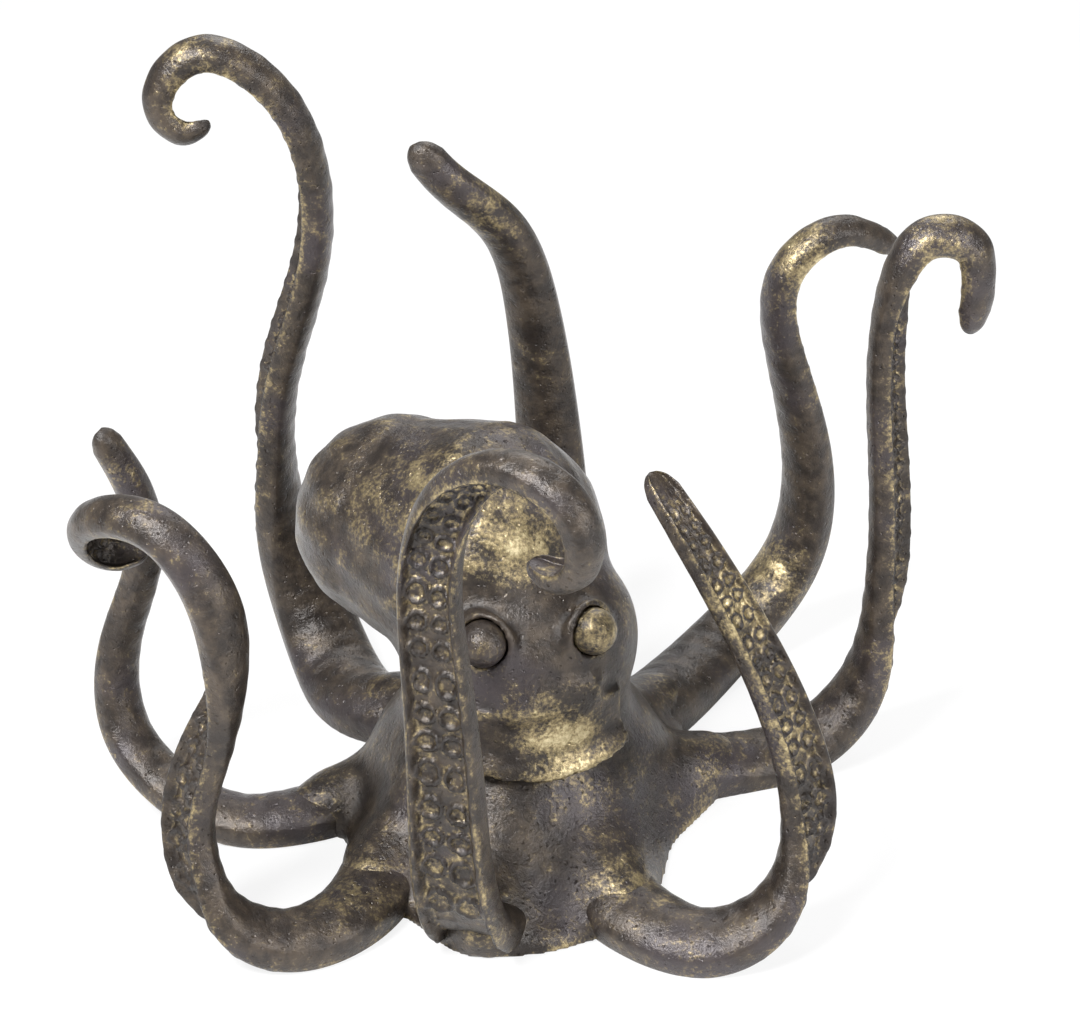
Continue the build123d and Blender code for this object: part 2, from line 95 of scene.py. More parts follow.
# A roll row is a share of the length and degrees. A route row is out and aside as shares of the
# reach, and up as a share of the rise. Headings are degrees from the front, towards the right.
ARMS = {
    "front_arm": dict(
        heading=-12, reach=102, rise=182, half_width=15, tip_swell=0, roll=((0.55, 0), (0.85, 75)),
        route=(
            (0.54, 0.02, 0.012), (0.67, 0.05, 0.00), (0.80, 0.04, 0.03), (0.89, 0.01, 0.15),
            (0.90, -0.01, 0.36), (0.87, -0.04, 0.58), (0.81, -0.05, 0.84), (0.84, 0.07, 0.97),
            (0.92, 0.25, 1.01), (0.99, 0.40, 0.96), (0.99, 0.41, 0.87), (0.94, 0.32, 0.83),
            (0.90, 0.24, 0.84),
        ),
    ),
    "front_right_arm": dict(
        heading=34, reach=109, rise=151, half_width=15, tip_swell=0, roll=((0.27, 0), (0.52, -72)),
        route=(
            (0.60, -0.06, 0.01), (0.78, -0.05, 0.00), (0.93, 0.03, 0.00), (1.00, 0.18, 0.04),
            (0.98, 0.35, 0.20), (0.91, 0.35, 0.42), (0.80, 0.25, 0.68), (0.66, 0.15, 0.89),
            (0.50, 0.12, 1.00),
        ),
    ),
    "right_arm": dict(
        heading=94, reach=155, rise=193, half_width=14, tip_swell=0.3,
        roll=((0.22, 0), (0.45, -50), (0.72, -50), (0.88, 0)),
        route=(
            (0.42, 0.05, 0.01), (0.60, 0.10, 0.00), (0.75, 0.15, 0.07), (0.83, 0.20, 0.27),
            (0.825, 0.22, 0.54), (0.805, 0.23, 0.76), (0.81, 0.23, 0.87), (0.83, 0.225, 0.95),
            (0.865, 0.225, 0.99), (0.925, 0.22, 1.00), (0.975, 0.22, 0.975), (0.99, 0.215, 0.93),
            (0.99, 0.215, 0.87), (0.98, 0.215, 0.81),
        ),
    ),
    "back_right_arm": dict(
        heading=131, reach=178, rise=165, half_width=15.5, tip_swell=0, roll=((0.55, 0), (0.85, -25)),
        route=(
            (0.46, 0.05, 0.00), (0.67, 0.09, 0.04), (0.80, 0.07, 0.18), (0.83, 0.06, 0.40),
            (0.78, 0.09, 0.71), (0.78, 0.08, 0.95), (0.86, 0.04, 1.01), (1.00, 0.00, 0.94),
        ),
    ),
    "back_arm": dict(
        heading=172, reach=105, rise=211, half_width=16, tip_swell=0.1, roll=((0, 0), (1, 0)),
        route=(
            (0.64, -0.01, 0.00), (0.84, -0.01, 0.05), (0.98, 0.01, 0.22), (0.98, 0.04, 0.45),
            (0.92, 0.08, 0.66), (0.82, 0.17, 0.83), (0.70, 0.34, 0.94), (0.67, 0.42, 1.00),
        ),
    ),
    "back_left_arm": dict(
        heading=216, reach=133, rise=239, half_width=16, tip_swell=0, roll=((0.18, 0), (0.42, 70)),
        route=(
            (0.54, 0.09, 0.00), (0.72, 0.08, 0.00), (0.90, 0.06, 0.09), (1.00, 0.08, 0.27),
            (0.97, 0.07, 0.47), (0.88, 0.01, 0.68), (0.86, 0.03, 0.85), (0.89, 0.16, 0.98),
            (0.94, 0.27, 1.01), (0.985, 0.355, 0.97), (0.985, 0.365, 0.92), (0.95, 0.32, 0.895),
            (0.91, 0.27, 0.91),
        ),
    ),
    "left_arm": dict(
        heading=274, reach=134, rise=140, half_width=13, tip_swell=0.1, roll=((0, 0), (1, 0)),
        route=(
            (0.42, 0.012, 0.012), (0.55, 0.06, 0.00), (0.70, 0.07, 0.00), (0.85, 0.00, 0.04),
            (0.98, -0.12, 0.15), (0.99, -0.19, 0.34), (0.91, -0.20, 0.60), (0.92, -0.17, 0.82),
            (0.99, -0.14, 1.00),
        ),
    ),
    "front_left_arm": dict(
        heading=310, reach=125, rise=142, half_width=14.5, tip_swell=0,
        roll=((0.24, 0), (0.36, 45), (0.47, 45), (0.70, -40)),
        route=(
            (0.44, 0.02, 0.012), (0.57, 0.10, 0.00), (0.71, 0.15, 0.00), (0.86, 0.12, 0.00),
            (0.97, 0.00, 0.07), (0.97, -0.11, 0.27), (0.88, -0.06, 0.58), (0.88, -0.08, 0.84),
            (0.95, -0.22, 1.00), (1.00, -0.38, 0.98), (0.985, -0.49, 0.88), (0.91, -0.50, 0.80),
            (0.84, -0.43, 0.81),
        ),
    ),
}
print(len(ARMS), "arms")


# %% A smooth curve through an arm's points
FINE_STEPS = 6


def unit(vectors):
    """Each vector divided by its own length."""
    return vectors / np.linalg.norm(vectors, axis=-1, keepdims=True)


def curve_through(points, first, last, count):
    """Cubic through the points with unit end slopes, at even steps of its length.

    On each span it is the Hermite cubic of the two ends. The inner slopes solve
    h1*s0 + 2(h0 + h1)*s1 + h0*s2 = 3(h1*chord0/h0 + h0*chord1/h1), so that the curve bends evenly
    across every point, where h0 and h1 are the lengths of the two chords.
    """
    spans = np.linalg.norm(np.diff(points, axis=0), axis=1)
    knots = np.concatenate([[0], np.cumsum(spans)])
    before, after = spans[:-1, None], spans[1:, None]
    chords = np.diff(points, axis=0)
    system = np.eye(len(points))
    inner = np.arange(1, len(points) - 1)
    system[inner, inner - 1] = spans[1:]
    system[inner, inner] = 2 * (spans[:-1] + spans[1:])
    system[inner, inner + 1] = spans[:-1]
    wanted = 3 * (after * chords[:-1] / before + before * chords[1:] / after)
    slopes = np.linalg.solve(system, np.vstack([first, wanted, last]))
    places = np.linspace(0, knots[-1], FINE_STEPS * count)
    span = np.clip(np.searchsorted(knots, places, side="right") - 1, 0, len(spans) - 1)
    t = ((places - knots[span]) / spans[span])[:, None]
    length = spans[span][:, None]
    fine = (
        points[span] * (1 - 3 * t**2 + 2 * t**3) + points[span + 1] * (3 * t**2 - 2 * t**3)
        + slopes[span] * length * (t - 2 * t**2 + t**3) + slopes[span + 1] * length * (t**3 - t**2)
    )
    travel = np.concatenate([[0], np.cumsum(np.linalg.norm(np.diff(fine, axis=0), axis=1))])
    even = np.linspace(0, travel[-1], count)
    line = np.stack([np.interp(even, travel, fine[:, axis]) for axis in range(3)], axis=1)
    return line, travel[-1]


corner = np.array([(0, 0, 0), (10, 0, 0), (10, 10, 0.0)])
print("a bend round a corner is", round(curve_through(corner, [1, 0, 0], [0, 1, 0], 50)[1], 2), "mm")


# %% Where an arm runs, how big it is, and the way its belly faces
def smoothstep(low, high, value):
    """3t^2 - 2t^3, where t is how far the value lies from low to high, held between 0 and 1."""
    t = np.clip((value - low) / (high - low), 0, 1)
    return t * t * (3 - 2 * t)


def level(heading):
    """Unit vectors outwards and to the side at a heading, in degrees from the front."""
    turn = math.radians(heading)
    return np.array([math.sin(turn), -math.cos(turn), 0]), np.array([math.cos(turn), math.sin(turn), 0])


def roll_along(rows, share):
    """Roll in radians: held before and after the rows of (share, degrees), and eased between them."""
    roll = np.full(share.shape, float(rows[0][1]))
    for (low, first), (high, second) in zip(rows, rows[1:]):
        roll += (second - first) * smoothstep(low, high, share)
    return np.radians(roll)


def sizes_along(arm, share):
    """Half width, crown height and rim depth: the taper's rows joined by straight lines.

    All three are multiplied by 1 + tip_swell * share^4, which leaves the root as it is.
    """
    swell = arm["half_width"] * (1 + arm["tip_swell"] * share**4)
    return [swell * np.interp(share, TAPER[:, 0], TAPER[:, column]) for column in (1, 2, 3)]


def arm_route(arm, pitch=0.7):
    """Centre line of an arm, its direction, the way its belly faces, and its length.

    The belly faces down at the seat, is carried along without twist by taking out, at each step,
    the part that lies along the new direction, and then rolls by the arm's own rows.
    """
    out, side = level(arm["heading"])
    rest = sizes_along(arm, REST_SHARE)[2] - FOOT_GRIND
    shares = np.array(arm["route"])
    points = shares[:, :1] * arm["reach"] * out + shares[:, 1:2] * arm["reach"] * side
    points = points + (rest + shares[:, 2:] * (arm["rise"] - rest)) * UP
    points = np.vstack([out * SEAT_RADIUS + UP * ROOT_HEIGHT, points])
    last = unit(points[-1] - points[-2])
    rough = np.linalg.norm(np.diff(points, axis=0), axis=1).sum()
    line, length = curve_through(points, out, last, int(rough / pitch))
    along = unit(np.gradient(line, axis=0))
    belly = [-UP]
    for direction in along:
        carried = belly[-1] - direction * (belly[-1] @ direction)
        belly.append(carried / np.linalg.norm(carried))
    belly = np.array(belly[1:])
    share = np.linspace(0, 1, len(line))
    roll = roll_along(arm["roll"], share)[:, None]
    facing = belly * np.cos(roll) + np.cross(along, belly) * np.sin(roll)
    return line, along, facing, length


print("front arm is", round(arm_route(ARMS["front_arm"])[3]), "mm long")

# %% [markdown]
# ## Where the finish is rubbed, and where light and shade are painted
# A dark patina is rubbed back by hand, so the gold lies in soft patches as well as on ridges. The patches
# could be painted on an image, but that needs a flat map of every piece. Here each patch is a place, a
# radius and a strength, and fades out round its middle. A few patches are painted highlights, paler where
# light falls, and a negative one stays dark as painted shade, where shadow falls.

# %% Places that are rubbed to gold, with painted highlights and painted shade
# Rows on an arm: its name, the share of its length, the patch's radius and its strength. The rows at 0.74 on
# the front arm and at 0.80 on the front right arm are painted highlights, not rubbed gold.
RUBBED_AND_HIGHLIT_ON_ARMS = (
    ("front_arm", 0.74, 11, 0.6), ("front_arm", 0.20, 12, 0.3), ("front_right_arm", 0.80, 13, 0.9),
    ("front_right_arm", 0.62, 12, 0.4), ("front_right_arm", 0.09, 12, 0.4), ("right_arm", 0.86, 13, 0.8),
    ("right_arm", 0.17, 13, 0.5), ("back_right_arm", 0.38, 15, 1.3), ("back_right_arm", 0.85, 13, 1.4),
    ("back_arm", 0.86, 13, 0.9), ("back_arm", 0.60, 14, 0.5), ("back_left_arm", 0.88, 15, 1.0),
    ("back_left_arm", 0.70, 14, 0.3), ("front_left_arm", 0.16, 16, 0.9), ("front_left_arm", 0.80, 10, 0.4),
    ("left_arm", 0.95, 8, 0.3), ("left_arm", 0.08, 9, 0.5),
)
# Rows on the body: the patch's middle, its radius and its strength. The row at (-48, 8, 118) is a painted
# highlight on the mantle, and the rows of negative strength are painted shade: four on the face under the
# mantle's overhang, and one under the back left of the mantle.
RUBBED_LIT_AND_SHADED_ON_BODY = (
    (2, -22, 112, 15, 1.3), (-24, -9, 129, 18, 0.7), (-48, 8, 118, 13, 0.4), (14, -44, 55, 12, 1.6),
    (24, -40, 54, 8, 0.9), (12, -44, 75, 6, 0.3), (44, -66, 12, 14, 0.6), (16, -40, 90, 14, -0.7),
    (-2, -42, 88, 12, -0.6), (14, -38, 98, 10, -0.9), (-6, -38, 97, 10, -0.9), (-48, 30, 80, 26, -0.4),
)
PATCH_PITCH = 3.0


def rubbed_and_painted_light(points):
    """How rubbed each point is, with painted highlights and painted shade added: the sum of strength *
    exp(-(distance / radius)^2) over all places.
    """
    spots = [(np.array(spot[:3], float), *spot[3:]) for spot in RUBBED_LIT_AND_SHADED_ON_BODY]
    for name, share, radius, strength in RUBBED_AND_HIGHLIT_ON_ARMS:
        line = arm_route(ARMS[name], pitch=PATCH_PITCH)[0]
        spots.append((line[int(share * (len(line) - 1))], radius, strength))
    total = np.zeros(len(points))
    for centre, radius, strength in spots:
        total += strength * np.exp(-((points - centre) ** 2).sum(axis=1) / radius**2)
    return total


print(len(RUBBED_AND_HIGHLIT_ON_ARMS) + len(RUBBED_LIT_AND_SHADED_ON_BODY), "rubbed places")

# %% [markdown]
# ## Surfaces into meshes
# A grid of points becomes a mesh with one quad between four neighbours. Each mesh also keeps how
# strongly it bulges at each vertex, because the finish is rubbed off the bulges and stays dark in
# the hollows. Blender's own Pointiness would do for a render, but an attribute can be baked.

# %% How strongly a surface bulges
SMOOTH_ROUNDS = 6


def bulge(points, edges, faces):
    """How far each vertex stands out from the smoothed surface, in millimetres.

    The points are averaged with their neighbours a few times, and the difference is measured
    along the vertex normal, which is the sum of the normals of the faces round it.
    """
    soft = points.copy()
    ends = np.concatenate([edges, edges[:, ::-1]])
    degree = np.bincount(ends[:, 0], minlength=len(points))[:, None]
    for _ in range(SMOOTH_ROUNDS):
        total = np.stack(
            [np.bincount(ends[:, 0], soft[ends[:, 1], axis], len(points)) for axis in range(3)], axis=1
        )
        soft = 0.5 * soft + 0.5 * total / np.maximum(degree, 1)
    normals = np.cross(points[faces[:, 2]] - points[faces[:, 0]], points[faces[:, 3]] - points[faces[:, 1]])
    summed = np.zeros(points.shape)
    for axis in range(3):
        summed[:, axis] = sum(
            np.bincount(faces[:, place], normals[:, axis], len(points)) for place in range(4)
        )
    return ((points - soft) * unit(summed + 1e-12)).sum(axis=1)


def tube_quads(rows, columns):
    """Quads of a grid that is closed round its second direction, facing outwards."""
    row, column = np.meshgrid(np.arange(rows - 1), np.arange(columns), indexing="ij")
    after = (column + 1) % columns
    ring = (
        row * columns + column, (row + 1) * columns + column,
        (row + 1) * columns + after, row * columns + after,
    )
    return np.stack(ring, axis=-1).reshape(-1, 4)


print("a tube of 3 rows and 8 columns has", len(tube_quads(3, 8)), "quads")

# %% A mesh object with its attributes
BULGE_RANGE = -0.4, 0.2


def add_attribute(mesh, name, values):
    """A number for each vertex, which the materials read by its name."""
    attribute = mesh.attributes.new(name, "FLOAT", "POINT")
    attribute.data.foreach_set("value", values.astype(np.float32))


def make_piece(name, points, quads, caps=(), handled=0):
    """Mesh object from points in millimetres round the hub's axis, with quads and end fans.

    A value in handled, for each point, is added to how rubbed the point is, which also holds the painted
    highlights and painted shade of the patch tables.
    """
    mesh = bpy.data.meshes.new(name)
    corners = np.concatenate([quads.ravel()] + [cap.ravel() for cap in caps])
    counts = np.concatenate([np.full(len(quads), 4)] + [np.full(len(cap), 3) for cap in caps])
    starts = np.concatenate([[0], np.cumsum(counts)[:-1]])
    mesh.vertices.add(len(points))
    mesh.vertices.foreach_set("co", (points * MM + hub_axis).ravel())
    mesh.loops.add(len(corners))
    mesh.loops.foreach_set("vertex_index", corners.astype(np.int32))
    mesh.polygons.add(len(counts))
    mesh.polygons.foreach_set("loop_start", starts.astype(np.int32))
    mesh.polygons.foreach_set("use_smooth", np.ones(len(counts), bool))
    mesh.update(calc_edges=True)
    mesh.validate()
    edges = np.zeros(2 * len(mesh.edges), np.int32)
    mesh.edges.foreach_get("vertices", edges)
    add_attribute(mesh, "bulge", np.clip(bulge(points, edges.reshape(-1, 2), quads), *BULGE_RANGE))
    # The worn value is the rubbed gold with painted highlights and painted shade, plus the handled rims.
    add_attribute(mesh, "worn_and_painted_light", rubbed_and_painted_light(points) + handled)
    piece = bpy.data.objects.new(name, mesh)
    bpy.context.scene.collection.objects.link(piece)
    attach(piece, body_name)
    return piece


print("each piece rides on", body_name)

# %% [markdown]
# ## Arms with their suckers
# An arm's section is a round crown over two rims, with a channel between them, and two rows of
# ruffled rings stand in the channel. The rings could be separate pieces, but on the casting they
# flow out of the channel's floor, so here they are part of one surface: a height is added to the
# channel, worked out from the distance to the nearest ring's middle.

# %% Sucker rings
# Places across the arm are shares of its half width, and those round a ring are shares of its radius.
SUCKER_ROW = 0.35
SUCKER_RADIUS = 0.37
SUCKER_PITCH = 0.93
LEAST_PITCH = 3.4
RING_CREST, RING_WIDTH, RING_HEIGHT = 0.76, 0.15, 0.34
DIP_WIDTH, DIP_DEPTH = 0.45, 0.4
FINE_RUFFLE, SLOW_RUFFLE = 0.30, 0.25
PITCH_WANDER, SIZE_WANDER = 0.10, 0.08
ROW_STAGGER = 0.06
RINGS_START = 0.15, 0.22
RINGS_END = 0.93, 0.985


def ruffled_rings(share, travel, half, across):
    """Height of the sucker rings over the channel's floor, in millimetres.

    Rings follow each other at a pitch that shrinks with the arm. At a distance d from a ring's
    middle, in ring radii, the height is exp(-((d - 0.76)/0.15)^2) - 0.4*exp(-(d/0.45)^2) times
    0.34 of the radius. The crest rises and falls six times and twice round the ring, and the
    pitch, the size and the ruffle's turn wander from ring to ring, so that no two are alike.
    """
    pitch = np.maximum(SUCKER_PITCH * half, LEAST_PITCH)
    count = np.cumsum(np.gradient(travel) / pitch)[:, None]
    count = count + PITCH_WANDER * np.sin(1.9 * count)
    height = np.zeros(across.shape)
    for row in (-1, 1):
        phase = count + ROW_STAGGER * row
        ahead = (phase - np.floor(phase) - 0.5) * pitch[:, None]
        aside = (across - row * SUCKER_ROW) * half[:, None]
        size = 1 + SIZE_WANDER * np.sin(5.1 * np.floor(phase) + row)
        radius = (SUCKER_RADIUS * half)[:, None] * size
        distance = np.hypot(ahead, aside) / radius
        turn = np.arctan2(aside, ahead) + 2.3 * np.floor(phase)
        ruffle = 1 + FINE_RUFFLE * np.cos(6 * turn) + SLOW_RUFFLE * np.sin(2 * turn)
        crest = ruffle * np.exp(-(((distance - RING_CREST) / RING_WIDTH) ** 2))
        height += RING_HEIGHT * radius * (crest - DIP_DEPTH * np.exp(-((distance / DIP_WIDTH) ** 2)))
    fade = smoothstep(*RINGS_START, share) * (1 - smoothstep(*RINGS_END, share))
    return height * fade[:, None]


print("rings are", SUCKER_RADIUS, "half widths in radius, at a pitch of", SUCKER_PITCH)

# %% An arm's section
CROWN_COLUMNS = 40
BELLY_COLUMNS = 72
CROWN_LEVEL = 0.94
LUMP_HEIGHT = 0.03
RIM_CREST = 0.80
CHANNEL_EDGE = 0.66
CHANNEL_FLOOR = 0.42
WALL_SLOPE = 0.06
RINGS_MARGIN = 0.08
RIM_WAVE, RIM_WAVE_LENGTH, RIM_WAVE_FROM = 0.06, 9.0, 0.6


def arm_section(half, crown, rim, share, travel):
    """Across and up at each column of the section, from the right side over the crown and back.

    Over the crown it is a ridge with hollow flanks, 0.7 sin^1.5 + 0.3 sin^0.6, with slow lumps.
    Under it, the depth is a quarter ellipse from the edge to the rim's crest, then falls smoothly
    to the channel's floor. The rims wave a little along the arm, and the rings stand on the floor.
    """
    over = np.linspace(0, np.pi, CROWN_COLUMNS, endpoint=False)
    under = np.linspace(0, np.pi, BELLY_COLUMNS, endpoint=False)
    on = travel[:, None]
    lump = CROWN_LEVEL + LUMP_HEIGHT * np.sin(0.55 * on + 2 * over) * np.sin(0.21 * on - 3 * over)
    top_across = half[:, None] * np.cos(over)
    top_up = crown[:, None] * (0.7 * np.sin(over) ** 1.5 + 0.3 * np.sin(over) ** 0.6) * lump
    across = -np.cos(under)[None, :] * np.ones((len(half), 1))
    place = np.abs(across)
    edge = np.sqrt(np.clip(1 - ((place - RIM_CREST) / (1 - RIM_CREST)) ** 2, 0, 1))
    wall = CHANNEL_FLOOR + (1 - CHANNEL_FLOOR) * smoothstep(CHANNEL_EDGE - WALL_SLOPE, RIM_CREST, place)
    waves = RIM_WAVE * np.sin(2 * np.pi * on / RIM_WAVE_LENGTH + np.sign(across))
    wave = 1 + waves * smoothstep(RIM_WAVE_FROM, RIM_CREST, place)
    depth = np.where(place > RIM_CREST, edge, wall * wave) * rim[:, None]
    inside = place < CHANNEL_EDGE + RINGS_MARGIN
    depth = depth + ruffled_rings(share, travel, half, across) * inside
    return np.hstack([top_across, half[:, None] * across]), np.hstack([top_up, -depth])


print("an arm's section has", CROWN_COLUMNS + BELLY_COLUMNS, "points")

# %% The arms
ROOT_NARROWING, ROOT_SHARE = 0.10, 0.05
TIP_ROUNDING = 1.6
LEAST_CLOSING = 0.002
CREST_OFFSET, CREST_WIDTH, CREST_WEAR = 0.06, 0.09, 0.8


def make_arm(name, arm):
    """An arm's mesh: its section carried along its route, rounded off at the tip.

    The section shrinks by sqrt(t(2 - t)) at the tip, where t is how much is left of a rounding
    1.6 times the crown's height there. The rims are handled most just outside their crests, as
    0.8 * exp(-(x/0.09)^2) of the distance x across the arm.
    """
    line, along, facing, length = arm_route(arm)
    share = np.linspace(0, 1, len(line))
    travel = share * length
    half, crown, rim = sizes_along(arm, share)
    root = 1 - ROOT_NARROWING * (1 - smoothstep(0, ROOT_SHARE, share))
    left = np.clip((length - travel) / (TIP_ROUNDING * crown[-1]), 0, 1)
    close = root * np.sqrt(left * (2 - left)) + LEAST_CLOSING
    across, up = arm_section(half, crown, rim, share, travel)
    side = np.cross(along, facing)
    points = (
        line[:, None] + side[:, None] * (across * close[:, None])[..., None]
        - facing[:, None] * (up * close[:, None])[..., None]
    )
    points[..., 2] = np.maximum(points[..., 2], 0)
    rows, columns = across.shape
    points = np.concatenate([points.reshape(-1, 3), line[:1], line[-1:]])
    ring = np.arange(columns)
    after = (ring + 1) % columns
    start = np.stack([np.full(columns, rows * columns), ring, after], axis=1)
    last = (rows - 1) * columns
    end = np.stack([np.full(columns, rows * columns + 1), last + after, last + ring], axis=1)
    aside = np.abs(across / half[:, None]) - RIM_CREST - CREST_OFFSET
    crest = np.exp(-((aside / CREST_WIDTH) ** 2)) * (up < 0)
    handled = np.append(CREST_WEAR * crest.ravel(), [0, 0])
    piece = make_piece(name + "_casting", points, tube_quads(rows, columns), (start, end), handled)
    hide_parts(name, name + "_suckers")
    return piece


arm_pieces = [make_arm(name, arm) for name, arm in ARMS.items()]
print("arm triangles:", [2 * len(piece.data.polygons) for piece in arm_pieces])

# %% [markdown]
# ## One skin over the hub, the neck, the head and the mantle
# On the casting the arms' roots, the web between them and the body run into each other with
# fillets. Joining separate meshes would leave hard creases, so the body is described by distance:
# each form gives how far a point lies outside it, and a smooth minimum of these distances has the
# fillets in it. The surface is then drawn where the distance is zero.


# %% Distances and their smooth minimum
def smooth_min(first, second, reach):
    """Lower of two distances, minus reach/4 * (1 - |difference|/reach)^2 where they are close."""
    close = np.clip(1 - np.abs(first - second) / reach, 0, 1)
    return np.minimum(first, second) - close * close * reach / 4


def to_rod(space, start, end, start_radius, end_radius):
    """Distance to a round-ended rod whose radius changes evenly between its ends."""
    line = end - start
    part = np.clip(((space - start) @ line) / (line @ line), 0, 1)
    away = np.linalg.norm(space - start - part[..., None] * line, axis=-1)
    return away - start_radius - part * (end_radius - start_radius)


def to_ball(space, middle, axes, radii):
    """Distance to an ellipsoid, taken as the shortest radius times (|point in radii| - 1)."""
    scaled = ((space - middle) @ np.array(axes).T) / np.array(radii)
    return (np.linalg.norm(scaled, axis=-1) - 1) * min(radii)


def to_drum(space, radius, low, high, rounding):
    """Distance to an upright drum with rounded edges."""
    aside = np.linalg.norm(space[..., :2], axis=-1) - radius + rounding
    away = np.abs(space[..., 2] - (low + high) / 2) - (high - low) / 2 + rounding
    outer = np.hypot(np.maximum(aside, 0), np.maximum(away, 0))
    return outer + np.minimum(np.maximum(aside, away), 0) - rounding


def ripple(space, waves):
    """Sum of sine waves in several directions, each given as its direction, length and height."""
    total = np.zeros(space.shape[:-1])
    for direction, length, height in waves:
        total += height * np.sin(2 * np.pi * (space @ unit(np.array(direction, float))) / length + length)
    return total


print("a point 4 mm from two forms, blended over 8, is", smooth_min(4.0, 4.0, 8.0), "mm away")

# %% The web and the bib
# Rows of the web: a heading in degrees, and how far from the axis its edge lies there.
WEB_REACH = np.array([
    (-31, 70), (-16, 83), (4, 85), (18, 80), (34, 74), (64, 57), (94, 68), (112, 64), (131, 68),
    (151, 56), (172, 64), (194, 58), (216, 66), (245, 56), (274, 66), (292, 58), (310, 72),
])
WEB_WINDOW = 33
WEB_TOP_RADIUS, WEB_EDGE_HEIGHT, WEB_RISE = 32, 5, 33
WEB_SLOPE, WEB_ROUNDING = 0.6, 6
COLLAR_RADIUS, COLLAR_LOW, COLLAR_HIGH = 44.0, 42.0, 66.0
COLLAR_HEADING, COLLAR_SPREAD = 13, 38
COLLAR_INSET, COLLAR_HALF_WALL = 1.2, 1.6
HEM_CURVE, HEM_FLARE, HEM_HEIGHT = 5, 4.2, 9


def to_web(space):
    """Distance to the web: a skirt that falls from the neck to the table at a reach set by heading.

    The reach is the table's, averaged over 33 degrees with a window that fades to its ends. The
    skirt's height is 5 + 33 * (1 - smoothstep(32, reach, radius)), 0.6 times the height over it
    stands for the distance, as the skirt slopes, and its outer edge is rounded.
    """
    radius = np.hypot(space[..., 0], space[..., 1])
    heading = np.degrees(np.arctan2(space[..., 0], -space[..., 1]))
    turns = np.arange(-180, 541)
    plain = np.interp(turns, WEB_REACH[:, 0], WEB_REACH[:, 1], period=360)
    window = np.hanning(WEB_WINDOW) / np.hanning(WEB_WINDOW).sum()
    soft = np.convolve(plain, window, mode="same")
    reach = np.interp(heading % 360, turns, soft)
    height = WEB_EDGE_HEIGHT + WEB_RISE * (1 - smoothstep(WEB_TOP_RADIUS, reach, radius))
    return -smooth_min(-(space[..., 2] - height) * WEB_SLOPE, reach - radius, WEB_ROUNDING)


def to_collar(space):
    """Distance to the bib: a thin upright wall round the front of the neck that flares at its hem.

    The hem rises by 5 times the square of the share of the way to the bib's end, and the wall
    leans out by 4.2 * (1 - smoothstep(hem, hem + 9, height)).
    """
    radius = np.hypot(space[..., 0], space[..., 1])
    heading = np.degrees(np.arctan2(space[..., 0], -space[..., 1]))
    along = np.abs(heading - COLLAR_HEADING) / COLLAR_SPREAD
    hem = COLLAR_LOW + HEM_CURVE * along**2
    flare = HEM_FLARE * (1 - smoothstep(hem, hem + HEM_HEIGHT, space[..., 2]))
    wall = np.abs(radius - COLLAR_RADIUS + COLLAR_INSET - flare) - COLLAR_HALF_WALL
    edge = np.maximum(hem - space[..., 2], space[..., 2] - COLLAR_HIGH)
    return np.maximum(np.maximum(wall, edge), (along - 1) * 30)


print("the web reaches", WEB_REACH[:, 1].min(), "to", WEB_REACH[:, 1].max(), "mm from the axis")

# %% The hub, the roots of the arms and the neck
# How far each form's fillet reaches into the forms before it.
FILLETS = dict(root=13, neck=14, head=12, mantle=6, web=12, bib=2.5, lid=5, chin=6)
HEAD_HEADING = 12.0
HUB_RADIUS, HUB_HEIGHT, HUB_ROUNDING = 46, 34, 9
ROOT_LENGTH, ROOT_PITCH = 46, 6.0
ROOT_CROWN_SHARE = 0.1
ROOT_SIZE, ROOT_STEP, ROOT_TAPER = 1.02, 0.16, 0.14
NECK_LEAN, NECK_LOW, NECK_HIGH = 4, 30.0, 62
NECK_RADII = 39, 36


def as_head_faces(forward, aside, up):
    """The sum of forward * ahead + aside * side + up * UP, in the directions of the head."""
    ahead, side = level(HEAD_HEADING)
    return ahead * forward + side * aside + UP * up


def add_roots(body, space):
    """The body with the first 46 mm of each arm, as rods in line.

    Rod n starts with a radius of (1.02 - 0.16n) times the arm's crown and loses 0.14 times it.
    """
    for arm in ARMS.values():
        line, _, _, length = arm_route(arm, pitch=ROOT_PITCH)
        root = line[: int(ROOT_LENGTH / length * len(line)) + 1 : 2]
        crown = sizes_along(arm, ROOT_CROWN_SHARE)[1]
        for step, (start, end) in enumerate(zip(root, root[1:])):
            radius = crown * (ROOT_SIZE - ROOT_STEP * step)
            rod = to_rod(space, start, end, radius, radius - ROOT_TAPER * crown)
            body = smooth_min(body, rod, FILLETS["root"])
    return body


def to_base(space):
    """Distance to the hub with the arms' roots on it, and the neck that leans a little ahead."""
    base = add_roots(to_drum(space, HUB_RADIUS, 0, HUB_HEIGHT, HUB_ROUNDING), space)
    top = as_head_faces(NECK_LEAN, 0, NECK_HIGH)
    neck = to_rod(space, np.array([0, 0, NECK_LOW]), top, *NECK_RADII)
    return smooth_min(base, neck, FILLETS["neck"])


print("the neck rises from", NECK_LOW, "to", NECK_HIGH, "mm")

